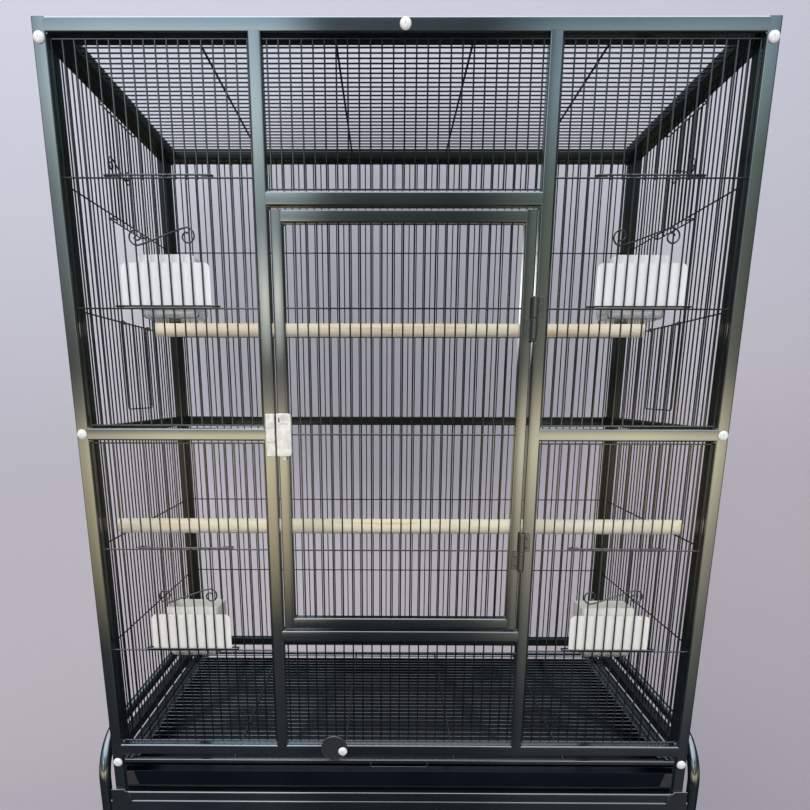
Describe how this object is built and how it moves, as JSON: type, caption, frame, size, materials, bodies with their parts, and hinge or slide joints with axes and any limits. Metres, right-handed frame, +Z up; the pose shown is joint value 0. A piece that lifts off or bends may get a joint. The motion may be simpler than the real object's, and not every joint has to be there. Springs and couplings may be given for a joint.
{
  "type": "bird breeding cage on a rolling stand",
  "caption": "Tall wire breeding cage for small birds with sliding feeder and nest doors, lift-off cups, perches and a sliding grate and tray, on a stand with castors.",
  "frame": {"origin": "on the floor under the middle of the overall bounding box", "axes": "+Z up, +X to the right as seen from the front, -Y out of the front of the cage"},
  "size_m": [0.8706, 0.442, 1.6],
  "materials": {
    "coat": "glossy black powder coat",
    "wire": "glossy black powder coat on wire",
    "zinc": "bright zinc plate",
    "bolt": "white painted head",
    "wood": "bare pale hardwood",
    "cup_plastic": "clear bluish plastic",
    "tray_coat": "black coated sheet steel",
    "disc_steel": "dark coated steel with a bright edge",
    "castor_steel": "black coated pressed steel",
    "castor_tyre": "matt black tyre"
  },
  "bodies": {
    "cage": {"bolt_top_left": "bolt", "bolt_top_right": "bolt", "bolt_top_centre": "bolt", "bolt_middle_left": "bolt", "bolt_middle_right": "bolt", "bolt_foot_left": "bolt", "bolt_foot_right": "bolt", "front_frame": "coat", "front_wires_left_upper": "wire", "front_wires_left_lower": "wire", "front_wires_right_upper": "wire", "front_wires_right_lower": "wire", "front_wires_top_centre": "wire", "front_wires_bottom_centre": "wire", "hinge_upper_frame_leaf": "coat", "hinge_lower_frame_leaf": "coat", "latch_keeper": "zinc", "side_panel_left": "coat", "side_panel_right": "coat", "back_panel": "coat", "roof_panel": "coat", "perch_upper": "wood", "perch_lower": "wood", "base_frame": "coat", "lock_disc_bolt": "bolt", "stand_hoop_left": "coat", "stand_hoop_right": "coat", "stand_rail_front": "coat", "stand_rail_rear": "coat", "stand_shelf": "coat"},
    "main_door": {"main_door": "coat", "hinge_upper_door_leaf": "coat", "hinge_lower_door_leaf": "coat", "latch_body": "zinc"},
    "latch_bolt": {"latch_bolt": "zinc"},
    "feeder_door_left_upper": {"feeder_door_left_upper": "wire"},
    "feeder_door_left_lower": {"feeder_door_left_lower": "wire"},
    "feeder_door_right_upper": {"feeder_door_right_upper": "wire"},
    "feeder_door_right_lower": {"feeder_door_right_lower": "wire"},
    "nest_door_left": {"nest_door_left": "wire"},
    "nest_door_right": {"nest_door_right": "wire"},
    "cup_left_upper": {"cup_left_upper": "cup_plastic"},
    "cup_left_lower": {"cup_left_lower": "cup_plastic"},
    "cup_right_upper": {"cup_right_upper": "cup_plastic"},
    "cup_right_lower": {"cup_right_lower": "cup_plastic"},
    "nest_bail_left": {"nest_bail_left": "wire"},
    "nest_bail_right": {"nest_bail_right": "wire"},
    "grate": {"grate": "coat", "grate_handle": "wire"},
    "tray": {"tray": "tray_coat"},
    "lock_disc": {"lock_disc": "disc_steel"},
    "castor_fork_front_left": {"castor_fork_front_left": "castor_steel"},
    "castor_wheel_front_left": {"castor_wheel_front_left": "castor_tyre"},
    "castor_fork_front_right": {"castor_fork_front_right": "castor_steel"},
    "castor_wheel_front_right": {"castor_wheel_front_right": "castor_tyre"},
    "castor_fork_rear_left": {"castor_fork_rear_left": "castor_steel"},
    "castor_wheel_rear_left": {"castor_wheel_rear_left": "castor_tyre"},
    "castor_fork_rear_right": {"castor_fork_rear_right": "castor_steel"},
    "castor_wheel_rear_right": {"castor_wheel_rear_right": "castor_tyre"}
  },
  "joints": [
    {"name": "main_door_hinge", "type": "hinge", "parent": "cage", "child": "main_door", "pos_m": [0.156, -0.21576, 1.1545], "axis": [0, 0, 1], "range_deg": [0, 110]},
    {"name": "latch_bolt_slide", "type": "slide", "parent": "main_door", "child": "latch_bolt", "axis": [1, 0, 0], "range_m": [-0.007, 0]},
    {"name": "feeder_door_left_upper_slide", "type": "slide", "parent": "cage", "child": "feeder_door_left_upper", "axis": [0, 0, 1], "range_m": [0, 0.132]},
    {"name": "feeder_door_left_lower_slide", "type": "slide", "parent": "cage", "child": "feeder_door_left_lower", "axis": [0, 0, 1], "range_m": [0, 0.132]},
    {"name": "feeder_door_right_upper_slide", "type": "slide", "parent": "cage", "child": "feeder_door_right_upper", "axis": [0, 0, 1], "range_m": [0, 0.132]},
    {"name": "feeder_door_right_lower_slide", "type": "slide", "parent": "cage", "child": "feeder_door_right_lower", "axis": [0, 0, 1], "range_m": [0, 0.132]},
    {"name": "nest_door_left_slide", "type": "slide", "parent": "cage", "child": "nest_door_left", "axis": [0, 0, 1], "range_m": [-0.1265, 0]},
    {"name": "nest_door_right_slide", "type": "slide", "parent": "cage", "child": "nest_door_right", "axis": [0, 0, 1], "range_m": [-0.1265, 0]},
    {"name": "cup_left_upper_lift", "type": "slide", "parent": "cage", "child": "cup_left_upper", "axis": [0, 0, 1], "range_m": [0, 0.02]},
    {"name": "cup_left_lower_lift", "type": "slide", "parent": "cage", "child": "cup_left_lower", "axis": [0, 0, 1], "range_m": [0, 0.02]},
    {"name": "cup_right_upper_lift", "type": "slide", "parent": "cage", "child": "cup_right_upper", "axis": [0, 0, 1], "range_m": [0, 0.02]},
    {"name": "cup_right_lower_lift", "type": "slide", "parent": "cage", "child": "cup_right_lower", "axis": [0, 0, 1], "range_m": [0, 0.02]},
    {"name": "nest_bail_left_hinge", "type": "hinge", "parent": "cage", "child": "nest_bail_left", "pos_m": [-0.40097, 0.01089, 1.303], "axis": [0, 1, 0], "range_deg": [0, 100]},
    {"name": "nest_bail_right_hinge", "type": "hinge", "parent": "cage", "child": "nest_bail_right", "pos_m": [0.40097, 0.01089, 1.303], "axis": [0, -1, 0], "range_deg": [0, 100]},
    {"name": "grate_slide", "type": "slide", "parent": "cage", "child": "grate", "axis": [0, -1, 0], "range_m": [0, 0.4]},
    {"name": "tray_slide", "type": "slide", "parent": "cage", "child": "tray", "axis": [0, -1, 0], "range_m": [0, 0.4]},
    {"name": "lock_disc_pivot", "type": "hinge", "parent": "cage", "child": "lock_disc", "pos_m": [-0.0793, -0.21276, 0.7165], "axis": [0, 1, 0], "range_deg": [-110, 0]},
    {"name": "castor_front_left_swivel", "type": "hinge", "parent": "cage", "child": "castor_fork_front_left", "pos_m": [-0.4235, -0.20396, 0.066], "axis": [0, 0, 1], "continuous": true},
    {"name": "castor_front_left_spin", "type": "hinge", "parent": "castor_fork_front_left", "child": "castor_wheel_front_left", "pos_m": [-0.4235, -0.18396, 0.025], "axis": [1, 0, 0], "continuous": true},
    {"name": "castor_front_right_swivel", "type": "hinge", "parent": "cage", "child": "castor_fork_front_right", "pos_m": [0.4235, -0.20396, 0.066], "axis": [0, 0, 1], "continuous": true},
    {"name": "castor_front_right_spin", "type": "hinge", "parent": "castor_fork_front_right", "child": "castor_wheel_front_right", "pos_m": [0.4235, -0.18396, 0.025], "axis": [1, 0, 0], "continuous": true},
    {"name": "castor_rear_left_swivel", "type": "hinge", "parent": "cage", "child": "castor_fork_rear_left", "pos_m": [-0.4235, 0.21304, 0.066], "axis": [0, 0, 1], "continuous": true},
    {"name": "castor_rear_left_spin", "type": "hinge", "parent": "castor_fork_rear_left", "child": "castor_wheel_rear_left", "pos_m": [-0.4235, 0.19304, 0.025], "axis": [1, 0, 0], "continuous": true},
    {"name": "castor_rear_right_swivel", "type": "hinge", "parent": "cage", "child": "castor_fork_rear_right", "pos_m": [0.4235, 0.21304, 0.066], "axis": [0, 0, 1], "continuous": true},
    {"name": "castor_rear_right_spin", "type": "hinge", "parent": "castor_fork_rear_right", "child": "castor_wheel_rear_right", "pos_m": [0.4235, 0.19304, 0.025], "axis": [1, 0, 0], "continuous": true}
  ]
}
